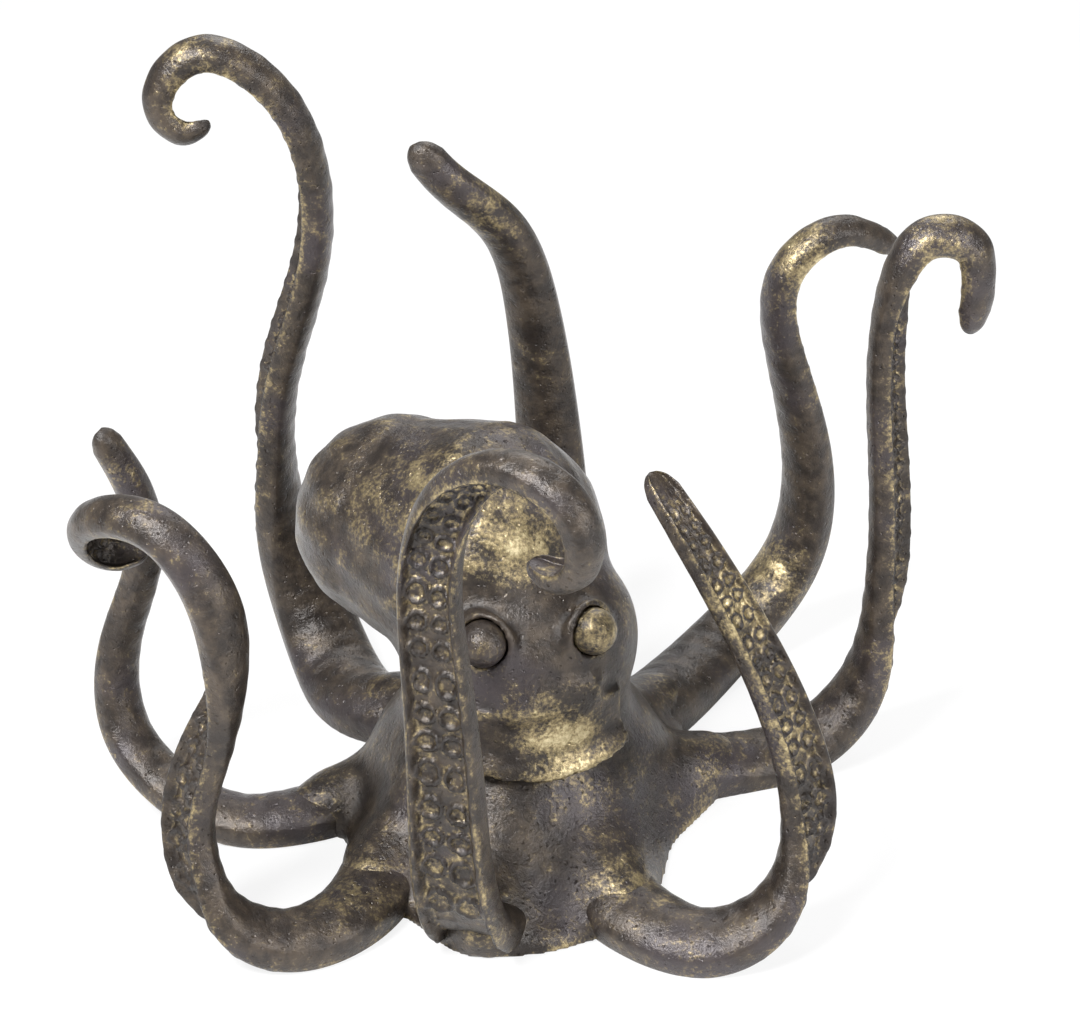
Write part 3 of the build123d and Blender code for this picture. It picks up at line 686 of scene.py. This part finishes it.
# %% The mantle, the eyelids and the whole body
HEAD_AHEAD, HEAD_HEIGHT = 7, 76
HEAD_RADII = 37, 34, 29
MANTLE_MIDDLE = np.array([-13.5, 14.5, 93.5])
MANTLE_HEADING, MANTLE_LENGTH = 235.0, 31.0
MANTLE_RADIUS, TAIL_RADIUS = 44.0, 36.0
MANTLE_INSET = 0.6
MANTLE_RIPPLES = [((1, 0.3, 2.0), 13, 0.28), ((-0.6, 1, 1.2), 19, 0.2), ((1, 1, -1), 9, 0.14)]
EYE_FORWARD, EYE_SIDE, EYE_HEIGHT, EYE_RADIUS = 35.8, 17.9, 89.5, 7.6
LOOK_FORWARD, LOOK_ASIDE, LOOK_UP = 0.8, 0.6, 0.1
LID_OUTSIDE, LID_BACK, LID_RADIUS = 0.6, 2.6, 1.7
SOCKET_ROOM = 0.5
# The chin's ends as the head faces: forward, aside and up.
CHIN_START, CHIN_END = (40, -8, 68), (39, 16, 71)
CHIN_RADII = 4.6, 3.4


def to_mantle(space):
    """Distance to the mantle: a fat rod from its middle to its tail, with a rippled skin."""
    tail = MANTLE_MIDDLE + level(MANTLE_HEADING)[0] * MANTLE_LENGTH
    mantle = to_rod(space, MANTLE_MIDDLE, tail, MANTLE_RADIUS - MANTLE_INSET, TAIL_RADIUS - MANTLE_INSET)
    return mantle + ripple(space, MANTLE_RIPPLES)


def add_lids(body, space):
    """The body with a ring round each eye for its lids, and a socket cut out where the ball sits."""
    for hand in (-1, 1):
        outward = unit(as_head_faces(LOOK_FORWARD, hand * LOOK_ASIDE, LOOK_UP))
        offset = space - as_head_faces(EYE_FORWARD, hand * EYE_SIDE, EYE_HEIGHT)
        depth = offset @ outward
        round_it = np.linalg.norm(offset - depth[..., None] * outward, axis=-1)
        lid = np.hypot(round_it - EYE_RADIUS - LID_OUTSIDE, depth + LID_BACK) - LID_RADIUS
        body = smooth_min(body, lid, FILLETS["lid"])
        socket = np.linalg.norm(offset, axis=-1) - EYE_RADIUS - SOCKET_ROOM
        body = np.maximum(body, -socket)
    return body


def body_distance(space):
    """Distance to the whole body: base, head, mantle, web, bib, lids and chin, blended in turn."""
    ahead, side = level(HEAD_HEADING)
    head = to_ball(space, as_head_faces(HEAD_AHEAD, 0, HEAD_HEIGHT), (side, ahead, UP), HEAD_RADII)
    body = smooth_min(to_base(space), head, FILLETS["head"])
    body = smooth_min(body, to_mantle(space), FILLETS["mantle"])
    body = smooth_min(body, to_web(space), FILLETS["web"])
    body = smooth_min(body, to_collar(space), FILLETS["bib"])
    body = add_lids(body, space)
    chin = to_rod(space, as_head_faces(*CHIN_START), as_head_faces(*CHIN_END), *CHIN_RADII)
    return smooth_min(body, chin, FILLETS["chin"])


print("the mantle's middle lies", round(float(-body_distance(MANTLE_MIDDLE[None])[0]), 1), "mm deep")


# %% The surface where the distance is zero
def surface_net(field, corner, step):
    """Points and quads of the zero level of a field on an even grid.

    A cell that the level passes through gets one point, the mean of the places where its edges
    cross zero, found in straight lines. A grid edge that crosses zero gets a quad from the four
    cells round it, turned to face the side where the field is above zero.
    """
    axes = np.eye(3, dtype=int)
    cells = np.array(field.shape) - 1
    total = np.zeros((*cells, 3))
    count = np.zeros(cells)
    for axis in range(3):
        first, second = (axis + 1) % 3, (axis + 2) % 3
        for shift in itertools.product((0, 1), repeat=2):
            start = np.zeros(3, int)
            start[first], start[second] = shift
            near = field[tuple(slice(s, s + n) for s, n in zip(start, cells))]
            far = field[tuple(slice(s, s + n) for s, n in zip(start + axes[axis], cells))]
            crosses = (near < 0) != (far < 0)
            part = np.where(crosses, near / np.where(crosses, near - far, 1), 0)
            place = start + part[..., None] * axes[axis]
            total += place * crosses[..., None]
            count += crosses
    used = np.argwhere(count > 0)
    index = np.full(count.shape, -1)
    index[tuple(used.T)] = np.arange(len(used))
    points = (used + total[tuple(used.T)] / count[tuple(used.T)][:, None]) * step + corner
    quads = []
    for axis in range(3):
        first, second = axes[(axis + 1) % 3], axes[(axis + 2) % 3]
        near = field.take(np.arange(cells[axis]), axis) < 0
        far = field.take(np.arange(1, cells[axis] + 1), axis) < 0
        place = np.argwhere(near != far)
        inner = np.all((place >= first + second) & (place < cells), axis=1)
        place = place[inner]
        ring = [index[tuple((place - shift).T)] for shift in (first + second, second, 0 * first, first)]
        quad = np.stack(ring, axis=1)
        turned = ~near[tuple(place.T)]
        quad[turned] = quad[turned][:, ::-1]
        quads.append(quad)
    return points, np.concatenate(quads)


ball_grid = np.stack(np.meshgrid(*[np.arange(-3, 4)] * 3, indexing="ij"), axis=-1)
ball_quads = surface_net(np.linalg.norm(ball_grid, axis=-1) - 2.2, np.full(3, -3.0), 1.0)[1]
print("a ball on a grid of 7 has", len(ball_quads), "quads")

# %% The body's skin
GRID_STEP = 1.3
GRID_LOW = np.array([-82.0, -90, -1.5 * GRID_STEP])
GRID_HIGH = np.array([78.0, 84, 142])
TABLE_CUT = 0.4


def make_body():
    """The skin's mesh, cut flat just over the table."""
    axes = [np.arange(low, high, GRID_STEP) for low, high in zip(GRID_LOW, GRID_HIGH)]
    space = np.stack(np.meshgrid(*axes, indexing="ij"), axis=-1)
    field = np.maximum(body_distance(space), TABLE_CUT - space[..., 2])
    points, quads = surface_net(field, GRID_LOW, GRID_STEP)
    piece = make_piece("body_casting", points, quads)
    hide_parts("hub", "head", "mantle", "collar")
    return piece


body_piece = make_body()
print("body triangles:", 2 * len(body_piece.data.polygons))

# %% [markdown]
# ## The finish
# Antique bronze is a dark patina that is rubbed back by hand. It is dark brown with a violet-grey sheen in
# the hollows, brown on the plain surfaces, and pale gold where a cloth reaches: on bulges, in soft patches.
# Some of the soft patches are painted highlights, and some dark ones are painted shade. The casting's skin
# is pitted, which is bump. A photograph wrapped round it would do for one view, but a pattern worked out
# from the place on the object holds from every side.


# %% Shader expressions
class Value:
    """A socket of a material's node tree that takes part in sums and products."""

    def __init__(self, maker, socket):
        self.maker, self.socket = maker, socket

    def _math(self, operation, first, second):
        return self.maker.node("ShaderNodeMath", {"operation": operation}, {0: first, 1: second})

    def __add__(self, other):
        return self._math("ADD", self, other)

    def __radd__(self, other):
        return self._math("ADD", other, self)

    def __sub__(self, other):
        return self._math("SUBTRACT", self, other)

    def __rsub__(self, other):
        return self._math("SUBTRACT", other, self)

    def __mul__(self, other):
        return self._math("MULTIPLY", self, other)

    def __rmul__(self, other):
        return self._math("MULTIPLY", other, self)


class Maker:
    """Makes the nodes of one owner, which is a material or the world."""

    def __init__(self, owner):
        self.owner = owner
        owner.use_nodes = True
        self.tree = owner.node_tree

    def node(self, kind, settings=None, inputs=None, output=0):
        """A node of a type with its settings, and values or links on its sockets."""
        made = self.tree.nodes.new(kind)
        for name, value in (settings or {}).items():
            setattr(made, name, value)
        for name, value in (inputs or {}).items():
            self.feed(made.inputs[name], value)
        return Value(self, made.outputs[output])

    def feed(self, socket, value):
        """Links a value to a socket, or sets a plain number or colour on it."""
        if isinstance(value, Value):
            self.tree.links.new(value.socket, socket)
        else:
            socket.default_value = value

    def mix(self, factor, first, second):
        """Colour between two colours."""
        inputs = {0: factor, 6: first, 7: second}
        return self.node("ShaderNodeMix", {"data_type": "RGBA"}, inputs, 2)

    def ramp(self, value, low, high):
        """0 below low, 1 above high, and smooth between."""
        settings = {"interpolation_type": "SMOOTHSTEP"}
        return self.node("ShaderNodeMapRange", settings, {0: value, 1: low, 2: high, 3: 0.0, 4: 1.0})

    def attribute(self, name):
        """The number that a mesh keeps for each vertex under a name."""
        return self.node("ShaderNodeAttribute", {"attribute_name": name}, {}, 2)

    def noise(self, place, scale, detail, roughness):
        """Noise at a scale, in waves to the metre."""
        inputs = {"Vector": place, "Scale": scale, "Detail": detail, "Roughness": roughness}
        return self.node("ShaderNodeTexNoise", {}, inputs)

    def finish(self, shader, sockets):
        """The owner, with a value on each named socket of the shader that it came with."""
        for name, value in sockets.items():
            self.feed(self.tree.nodes[shader].inputs[name], value)
        return self.owner


PLAIN_SHADER = "Principled BSDF"
steel_sockets = {"Base Color": (0.55, 0.55, 0.57, 1), "Metallic": 1.0, "Roughness": 0.35}
steel = Maker(bpy.data.materials.new("fixing_steel")).finish(PLAIN_SHADER, steel_sockets)
print("the pins, the bolt and the washer are", steel.name)

# %% Antique bronze
DARK_BROWN, BROWN = (0.022, 0.017, 0.014, 1), (0.062, 0.047, 0.034, 1)
VIOLET_GREY = (0.047, 0.039, 0.043, 1)
GOLD, PALE_GOLD = (0.34, 0.27, 0.145, 1), (0.66, 0.57, 0.36, 1)
HOLLOW_DARK = (0.014, 0.011, 0.010, 1)
BUMP_STRENGTH, BUMP_DISTANCE = 0.6, 0.0012
# A noise is its scale, its detail and its roughness.
BROAD_NOISE, MIDDLE_NOISE, GRAIN_NOISE = (26.0, 3.0, 0.55), (150.0, 6.0, 0.65), (700.0, 4.0, 0.7)
PIT_SCALE = 420.0
# Extra rub for the right eye's paler, lit copy of the bronze; the left eye's darker finish is painted shade.
LIT_EYE_RUB = 0.75


def antique_bronze(name, extra_rub_and_light):
    """Dark patina with brown and gold rubbed through it, more where rub is more, and a pitted skin.

    How far the cloth reaches is 3 * bulge + 0.9 * worn + rub, plus three noises taken round their mean; worn
    also holds painted highlights and painted shade, and rub the lit right eye's extra gold. Gold comes
    through from 0.25 and turns pale from 1, and hollows below -0.02 mm are dark.
    """
    make = Maker(bpy.data.materials.new(name))
    place = make.node("ShaderNodeTexCoord", {}, {}, 3)
    raised = make.attribute("bulge")
    worn_and_painted_light = make.attribute("worn_and_painted_light")
    broad = make.noise(place, *BROAD_NOISE)
    middle = make.noise(place, *MIDDLE_NOISE)
    grain = make.noise(place, *GRAIN_NOISE)
    pits = make.node("ShaderNodeTexVoronoi", {"feature": "SMOOTH_F1"}, {"Vector": place, "Scale": PIT_SCALE})
    brown = make.mix(make.ramp(middle, 0.36, 0.68), DARK_BROWN, BROWN)
    cool = make.mix(make.ramp(broad, 0.48, 0.66) * 0.7, brown, VIOLET_GREY)
    # The cloth's reach holds painted highlights and painted shade through worn, and the lit right eye's
    # extra gold through rub.
    rub_and_painted_light = raised * 3.0 + worn_and_painted_light * 0.9 + extra_rub_and_light
    reach = rub_and_painted_light + (broad - 0.5) * 1.5 + (middle - 0.5) * 2.6 + (grain - 0.5) * 3.2
    gold_from_rub_and_light = make.ramp(reach, 0.25, 1.5)
    hollow = make.ramp(raised, -0.02, -0.25)
    warm = make.mix(gold_from_rub_and_light, cool, GOLD)
    bright = make.mix(make.ramp(reach, 1.0, 2.2), warm, PALE_GOLD)
    height = middle * 1.1 + grain * 0.35 - make.ramp(pits, 0.22, 0.02) * 0.5
    relief = {"Strength": BUMP_STRENGTH, "Distance": BUMP_DISTANCE, "Height": height}
    return make.finish(PLAIN_SHADER, {
        "Base Color": make.mix(hollow * 0.7, bright, HOLLOW_DARK),
        "Metallic": 0.35 + gold_from_rub_and_light * 0.6 - hollow * 0.2,
        "Roughness": 0.24 + middle * 0.22 + hollow * 0.2,
        "Normal": make.node("ShaderNodeBump", {}, relief),
    })


bronze = antique_bronze("antique_bronze", 0.0)
# The right eye gets a paler, more rubbed copy of the bronze: a lit copy beside the shaded left eye.
lit_eye_bronze = antique_bronze("rubbed_lit_eye_bronze", LIT_EYE_RUB)
print("materials:", [material.name for material in bpy.data.materials])

# %% Each piece gets its finish
STEEL_NODES = ("arm_dowels", "mantle_dowel", "neck_bolt", "neck_washer")
for piece in arm_pieces + [body_piece]:
    piece.data.materials.append(bronze)
for name, node in frame["nodes"].items():
    node.data.materials.clear()
    plain = steel if name in STEEL_NODES else bronze
    # The left eye keeps the darker plain bronze as painted shade, for the shadow over the face's left side,
    # and the right eye takes the paler lit copy.
    node.data.materials.append(lit_eye_bronze if name == "right_eye" else plain)
print(len(arm_pieces) + 1, "pieces and", len(frame["nodes"]), "nodes have their finish")

# %% [markdown]
# ## Floor, light and camera
# The figure stands on a plain white floor under large soft lights. The floor is white to the
# camera and still takes the figure's shadow. The camera looks down at thirty degrees from in
# front, with a long lens, as the photograph does.

# %% Floor and world
FLOOR_HALF_SIZE = 9.0
FLOOR_GREY = (0.8, 0.8, 0.8, 1)
WHITE = (1, 1, 1, 1)
FLOOR_OWN_WHITE = 0.86
WORLD_ON_FIGURE, WORLD_TO_CAMERA = 0.3, 1.0


def make_floor():
    """A square floor at the table's height, mostly its own white and a little of the light on it."""
    far = FLOOR_HALF_SIZE
    corners = [(-far, -far, 0), (far, -far, 0), (far, far, 0), (-far, far, 0)]
    mesh = bpy.data.meshes.new("floor")
    mesh.from_pydata(corners, [], [(0, 1, 2, 3)])
    floor = bpy.data.objects.new("floor", mesh)
    bpy.context.scene.collection.objects.link(floor)
    make = Maker(bpy.data.materials.new("floor_white"))
    matt = {"Base Color": FLOOR_GREY, "Roughness": 1.0, "Specular IOR Level": 0.0}
    mesh.materials.append(make.finish(PLAIN_SHADER, matt))
    lit = Value(make, make.tree.nodes[PLAIN_SHADER].outputs[0])
    glow = make.node("ShaderNodeEmission", {}, {"Color": WHITE, "Strength": 1.0})
    camera_ray = make.node("ShaderNodeLightPath", output="Is Camera Ray")
    surface = make.node("ShaderNodeMixShader", {}, {0: camera_ray * FLOOR_OWN_WHITE, 1: lit, 2: glow})
    make.finish("Material Output", {"Surface": surface})


def light_world():
    """White where the camera looks past the floor, and a dimmer, even light on the figure."""
    make = Maker(bpy.data.worlds.new("studio"))
    camera_ray = make.node("ShaderNodeLightPath", output="Is Camera Ray")
    between = {0: camera_ray, 3: WORLD_ON_FIGURE, 4: WORLD_TO_CAMERA}
    strength = make.node("ShaderNodeMapRange", {}, between)
    bpy.context.scene.world = make.finish("Background", {"Color": WHITE, "Strength": strength})


make_floor()
light_world()
print("floor and world are ready")

# %% Lamps
LAMP_AIM = (0, 0, 0.1)
# Rows of the lamps: name, place, size and power, in metres and watts.
LAMPS = (
    ("key", (-0.45, -0.45, 0.95), 0.35, 24),
    ("fill", (0.8, -0.6, 0.6), 0.35, 9),
    ("back", (0.1, 0.8, 0.8), 0.6, 6),
)


def soft_light(name, place, size, power):
    """Square lamp at a place, turned to the figure.

    A lamp shines straight down until it is turned, so it tips up by the angle between straight
    down and the way to the figure, and then turns by that way's heading on the table.
    """
    lamp = bpy.data.lights.new(name, "AREA")
    lamp.size = size
    lamp.energy = power
    holder = bpy.data.objects.new(name, lamp)
    bpy.context.scene.collection.objects.link(holder)
    direction = np.array(LAMP_AIM) - np.array(place)
    tip = math.atan2(math.hypot(direction[0], direction[1]), -direction[2])
    holder.location = place
    holder.rotation_euler = (tip, 0, math.atan2(-direction[0], direction[1]))


for lamp_row in LAMPS:
    soft_light(*lamp_row)
print(len(LAMPS), "lamps")

# %% Camera
CAMERA_HEIGHT_ANGLE = math.radians(30)
CAMERA_DISTANCE = 900.0
CAMERA_AIM = np.array([8.0, 0.0, 116.0])
PIXELS_PER_MM, IMAGE_WIDTH, SENSOR = 3.1, 1080, 36.0
camera_data = bpy.data.cameras.new("camera")
camera_data.sensor_fit = "HORIZONTAL"
camera_data.sensor_width = SENSOR
camera_data.lens = SENSOR * PIXELS_PER_MM * CAMERA_DISTANCE / IMAGE_WIDTH
camera = bpy.data.objects.new("camera", camera_data)
bpy.context.scene.collection.objects.link(camera)
offset = np.array([0, -math.cos(CAMERA_HEIGHT_ANGLE), math.sin(CAMERA_HEIGHT_ANGLE)]) * CAMERA_DISTANCE
camera.location = (CAMERA_AIM + offset) * MM + hub_axis
camera.rotation_euler = (math.pi / 2 - CAMERA_HEIGHT_ANGLE, 0, 0)
bpy.context.scene.camera = camera
bpy.context.scene.view_settings.view_transform = "Standard"
print("lens", round(camera_data.lens, 1), "mm")
